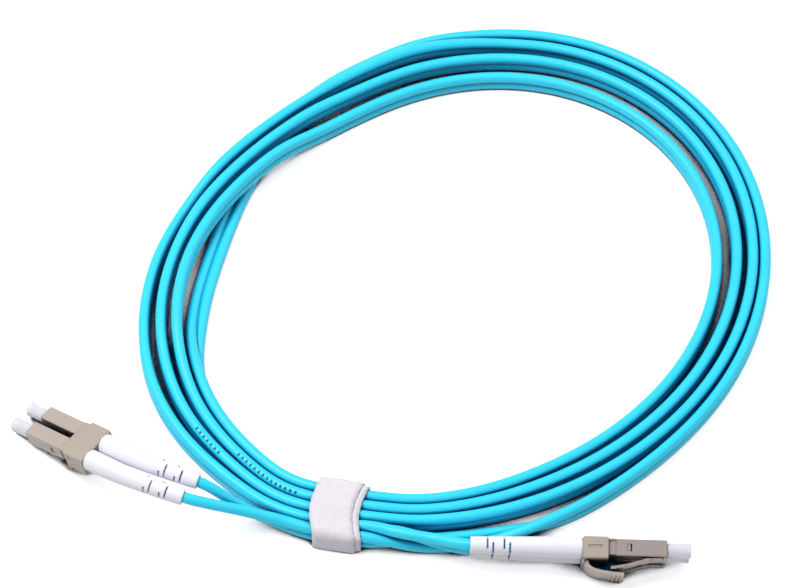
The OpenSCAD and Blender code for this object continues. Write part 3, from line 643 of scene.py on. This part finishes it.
def boot_frame(end, n, d):
    """Frame at a place d mm from the boot's tail, with +X towards the plug."""
    u = 1 - d / BEND_LEN
    base = pair_matrix(end) @ Matrix.Translation((0, plug_y(end, n), 0))
    if end == "b":
        return base @ Matrix.Translation((-BEND_START - u * BEND_LEN, 0, 0))
    if u < 0:
        return base @ Matrix.Translation((-BEND_START - u * BEND_LEN, 0, 0)) @ TURN_X
    return (base @ Matrix.Translation((-BEND_START, 0, 0)) @ TURN_X
            @ Matrix.Translation((0, 0, BEND_R))
            @ Matrix.Rotation(math.radians(u * BEND), 4, "Y")
            @ Matrix.Translation((0, 0, -BEND_R)))


def boot_stations():
    """Distances from the tail, each with the boot's radius there."""
    whole = BEND_LEN + BEND_START - CLIP_END
    places = {*TAIL_RINGS, *(whole - d for d in HEAD_RINGS)}
    for d, _ in SLOTS:
        places |= {d - SLOT_W / 2, d + SLOT_W / 2}
    d = RINGS_FROM
    while d < whole - RINGS_SHORT_OF:
        places.add(d)
        d += 1.0
    stations = [(d, BOOT_TAIL_R - less) for d, less in TAIL_ROUND]
    stations += [(d, BOOT_TAIL_R + (BOOT_HEAD_R - BOOT_TAIL_R) * min(1, d / BEND_LEN))
                 for d in sorted(places)]
    stations += [(whole - d, BOOT_HEAD_R - less) for d, less in HEAD_ROUND]
    return stations + [(whole + 0.02, SOCKET_R), (whole + SOCKET_DEPTH, SOCKET_R)]


def boot(end, n):
    """Smooth tapered sleeve with a bore and flexing slots cut through its wall."""
    stations = boot_stations()
    rows, sides = len(stations), BOOT_SIDES
    turn, lean = SLOT_TURN[end]
    verts, faces = [], []
    for bore in (False, True):
        for d, outer in stations:
            m = boot_frame(end, n, d)
            r = BOOT_BORE_R if bore else outer
            for k in range(sides):
                a = 360 * k / sides
                verts.append(m @ Vector((0, -r * sin(a), r * cos(a))) * MM)

    def at(i, k, inner):
        return (rows if inner else 0) * sides + i * sides + k % sides

    def open_cell(i, k):
        """True past the ends and where a slot takes the wall away."""
        if i < 0 or i >= rows - 1:
            return True
        mid_d = (stations[i][0] + stations[i + 1][0]) / 2
        mid_a = 360 * (k + 0.5) / sides
        return any(abs(mid_d - d) < SLOT_W / 2
                   and abs(wrap(mid_a - turn - way * lean - opposite)) < SLOT_HALF
                   for d, way in SLOTS for opposite in (0, 180))

    for i in range(rows - 1):
        for k in range(sides):
            if open_cell(i, k):
                continue
            # Corners of the cell: outside and in the bore, here and next along and round
            out, out_k = at(i, k, 0), at(i, k + 1, 0)
            out_i, out_ik = at(i + 1, k, 0), at(i + 1, k + 1, 0)
            bore, bore_k = at(i, k, 1), at(i, k + 1, 1)
            bore_i, bore_ik = at(i + 1, k, 1), at(i + 1, k + 1, 1)
            faces.append((out, out_k, out_ik, out_i))
            faces.append((bore, bore_i, bore_ik, bore_k))
            if open_cell(i - 1, k):
                faces.append((out, bore, bore_k, out_k))
            if open_cell(i + 1, k):
                faces.append((out_i, out_ik, bore_ik, bore_i))
            if open_cell(i, k - 1):
                faces.append((out, out_i, bore_i, bore))
            if open_cell(i, k + 1):
                faces.append((out_k, bore_k, bore_ik, out_ik))
    name = f"boot_{end}{n}"
    o = mesh_piece(name + "_sleeve", verts, faces, BOOT, body=body_of(name))
    bm = bmesh.new()
    bm.from_mesh(o.data)
    bmesh.ops.delete(bm, geom=[v for v in bm.verts if not v.link_faces], context="VERTS")
    bmesh.ops.recalc_face_normals(bm, faces=bm.faces)
    bm.to_mesh(o.data)
    bm.free()
    o.data.set_sharp_from_angle(angle=math.radians(BOOT_SHARP_ANGLE))
    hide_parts(name)


for end, n in ENDS:
    boot(end, n)

# --------------------------------------------------------------- springs ----
# Metal copies standing for the springs; they don't shorten by the ferrule's travel, though rigid
# ones would clip
SPRING_FRONT, SPRING_BACK, TRAVEL, SPRING_ROOM = -5.4, -9.7, 0.9, 0.02
for end, n in ENDS:
    name = f"ferrule_spring_{end}{n}"
    spring = add_object(name + "_coil", nodes[name].data.copy())
    dress(spring, METAL)
    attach(spring, body_of(name))
    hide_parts(name)
    placed(end, (SPRING_BACK, plug_y(end, n), 0)) * MM
    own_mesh(spring)

# ------------------------------------------------------------------- tie ----
# Inside of the loop round the cords: two strands high, one per lane wide
IN_W, IN_H = TURNS * TIE_PITCH + 3 + 2 * TIE_GAP, 6 + 2 * TIE_GAP
CORNER_R = 1.0
CORNER_ARC = math.pi / 2 * 1.6
SIDE_W, SIDE_H = IN_W / 2 - CORNER_R, IN_H / 2 - CORNER_R
LOOP = 4 * SIDE_W + 4 * SIDE_H + 4 * CORNER_ARC
LAYER_W, LAYER_T, LAYER_GAP, LAYER_STEP, LAYER_CELLS = 11.4, 0.72, 0.02, 0.5, 8
# The band bows along the cords: in its middle, everywhere, and towards its far side
BOW_MIDDLE, BOW_ALL, BOW_FAR = -1.3, 0.4, 1.1
FUZZ, FUZZ_SIDE = 0.10, 1.6
INNER_SHORT, OUTER_BEFORE, OUTER_SHARE, LAYER_SHIFT = 0.6, 1.5, 0.62, 0.9


def loop_point(s, grow):
    """A place on the rounded loop and its outward direction, s mm along from the far bottom."""
    r, w, h = CORNER_R + grow, SIDE_W, SIDE_H
    runs = [(2 * h, (-w, -h), 180, 0), (None, (-w, h), 180, -90),
            (2 * w, (-w, h), 90, 0), (None, (w, h), 90, -90),
            (2 * h, (w, h), 0, 0), (None, (w, -h), 0, -90),
            (2 * w, (w, -h), -90, 0), (None, (-w, -h), -90, -90)]
    s = s % LOOP
    for run, c, a, turn in runs:
        span = run if run is not None else CORNER_ARC
        if s <= span:
            break
        s -= span
    if run is None:
        a += turn * s / CORNER_ARC
        return (c[0] + r * cos(a), c[1] + r * sin(a)), a
    d = (cos(a - 90), sin(a - 90))
    return (c[0] + r * cos(a) + d[0] * s, c[1] + r * sin(a) + d[1] * s), a


tie_frame = (Matrix.Translation((TIE_MID[0], TIE_MID[1], TIE_T + IN_H / 2))
             @ Matrix.Rotation(math.radians(TIE_HEADING), 4, "Z"))


def tie_layer(s_from, s_to, grow, shift):
    """One layer of felt along the loop, with a slightly uneven surface."""
    edge = [(-LAYER_W / 2 + LAYER_W * k / LAYER_CELLS,
             LAYER_T / 2 if 0 < k < LAYER_CELLS else LAYER_T / 4)
            for k in range(LAYER_CELLS + 1)]
    section = edge + [(v, -t) for v, t in reversed(edge)]
    rings = []
    count = max(2, round((s_to - s_from) / LAYER_STEP))
    for i in range(count + 1):
        s = s_from + (s_to - s_from) * i / count
        (y0, z0), a0 = loop_point(s, grow(i / count))
        bow = BOW_MIDDLE * (1 - (2 * y0 / IN_W) ** 2) + BOW_ALL + BOW_FAR * smooth(y0 / IN_W)
        ring = []
        for v, t in section:
            fuzz = noise.noise(Vector((v * 1.7, s * 1.3, t * 5 + shift))) * FUZZ
            side = fuzz * FUZZ_SIDE if abs(v) > LAYER_W / 2 - 0.1 else 0
            out = t + LAYER_T / 2 + fuzz * (1 if t > 0 else 0)
            y = y0 + out * cos(a0)
            z = z0 + out * sin(a0)
            ring.append(tie_frame @ Vector((v + side + shift + bow, -y, z)) * MM)
        rings.append(ring)
    return sweep(rings)


inner_verts, inner_faces = tie_layer(0, LOOP - INNER_SHORT, lambda u: LAYER_GAP, LAYER_SHIFT)
outer_verts, outer_faces = tie_layer(-OUTER_BEFORE, LOOP * OUTER_SHARE,
                                     lambda u: LAYER_GAP + LAYER_T * smooth(u * 14), -LAYER_SHIFT)
outer_faces = [tuple(j + len(inner_verts) for j in f) for f in outer_faces]
tie = mesh_piece("cable_tie_felt", inner_verts + outer_verts, inner_faces + outer_faces, FELT,
                 slot="tie")
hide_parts("cable_tie")

# ------------------------------------------------------- camera and light ----
# The camera was fitted when the coil's middle stood here, and moved with it since
FITTED_TO, TARGET_HEIGHT = (16.3, 3.4), 6.0
TARGET = Vector((COIL_MID[0] - FITTED_TO[0], COIL_MID[1] - FITTED_TO[1], TARGET_HEIGHT)) * MM
ELEVATION, CAMERA_DISTANCE = math.radians(55.5), 1.1
cam_data = bpy.data.cameras.new("camera")
cam = add_object("camera", cam_data)
cam.location = (TARGET
                + Vector((0, -math.cos(ELEVATION), math.sin(ELEVATION))) * CAMERA_DISTANCE)
cam.rotation_euler = (math.pi / 2 - ELEVATION, 0, 0)
cam_data.lens = 182
cam_data.sensor_width = 36
cam_data.clip_start, cam_data.clip_end = 0.05, 20
bpy.context.scene.camera = cam

# White floor. Painted shade: narrow gaps between cords go dark by ambient occlusion, and the open
# floor stays white.
FLOOR_SIZE = 6
FLOOR_COLOUR, FLOOR_GLOW = (0.62, 0.62, 0.63, 1), (0.70, 0.70, 0.70, 1)
GAP_SHADE_COLOUR, GAP_REACH, GAP_DARK, GAP_OPEN = (0, 0.008, 0.02, 1), 0.009, 0.32, 0.44
bpy.ops.mesh.primitive_plane_add(size=FLOOR_SIZE, location=(0, 0, 0))
floor = bpy.context.object
floor.name = "floor"
floor_white = bpy.data.materials.new("floor_white")
floor_white.use_nodes = True
nt = floor_white.node_tree
nt.nodes.clear()
out = nt.nodes.new("ShaderNodeOutputMaterial")
diffuse = nt.nodes.new("ShaderNodeBsdfDiffuse")
glow = nt.nodes.new("ShaderNodeEmission")
open_sky = add_node(nt, "AmbientOcclusion", Distance=GAP_REACH)
shade = add_node(nt, "MapRange", From_Min=GAP_DARK, From_Max=GAP_OPEN)
nt.links.new(open_sky.outputs["AO"], shade.inputs["Value"])
# Painted shade: both the lit floor colour and its glow fade to the dark gap colour
for shader, bright in ((diffuse, FLOOR_COLOUR), (glow, FLOOR_GLOW)):
    blend = mix_colours(nt, shade.outputs["Result"], GAP_SHADE_COLOUR, bright)
    nt.links.new(blend.outputs["Result"], shader.inputs["Color"])
# The glow is for camera, glossy and transmission rays, so it doesn't light the object
seen = nt.nodes.new("ShaderNodeLightPath")
shows = seen.outputs["Is Camera Ray"]
for kind in ("Is Glossy Ray", "Is Transmission Ray"):
    either = nt.nodes.new("ShaderNodeMath")
    either.operation = "MAXIMUM"
    nt.links.new(shows, either.inputs[0])
    nt.links.new(seen.outputs[kind], either.inputs[1])
    shows = either.outputs[0]
both = nt.nodes.new("ShaderNodeAddShader")
pick = nt.nodes.new("ShaderNodeMixShader")
nt.links.new(diffuse.outputs[0], both.inputs[0])
nt.links.new(glow.outputs[0], both.inputs[1])
nt.links.new(shows, pick.inputs["Fac"])
nt.links.new(diffuse.outputs[0], pick.inputs[1])
nt.links.new(both.outputs[0], pick.inputs[2])
nt.links.new(pick.outputs[0], out.inputs["Surface"])
floor.data.materials.append(floor_white)

# Soft white surroundings; what the camera sees of them past the floor is plain white
WHITE, SKY_STRENGTH = (1, 1, 1, 1), 0.42
world = bpy.data.worlds.new("world")
bpy.context.scene.world = world
world.use_nodes = True
sky = world.node_tree
light = sky.nodes["Background"]
light.inputs["Color"].default_value = WHITE
light.inputs["Strength"].default_value = SKY_STRENGTH
shown = add_node(sky, "Background", Color=WHITE)
ray = sky.nodes.new("ShaderNodeLightPath")
by_ray = sky.nodes.new("ShaderNodeMixShader")
sky.links.new(ray.outputs["Is Camera Ray"], by_ray.inputs["Fac"])
sky.links.new(light.outputs[0], by_ray.inputs[1])
sky.links.new(shown.outputs[0], by_ray.inputs[2])
sky.links.new(by_ray.outputs[0], sky.nodes["World Output"].inputs["Surface"])


def lamp(name, place, size, power):
    """A square area lamp that points at the origin; place and size in metres, power in watts."""
    data = bpy.data.lights.new(name, "AREA")
    data.shape = "RECTANGLE"
    data.size = data.size_y = size
    data.energy = power
    o = add_object(name, data)
    o.location = place
    o.rotation_euler = (-Vector(place)).to_track_quat("-Z", "Y").to_euler()


lamp("key", (-0.45, 0.1, 1.15), 0.5, 11)
lamp("fill", (0.9, 0.6, 0.9), 1.0, 4)

bpy.context.scene.view_settings.view_transform = "Standard"
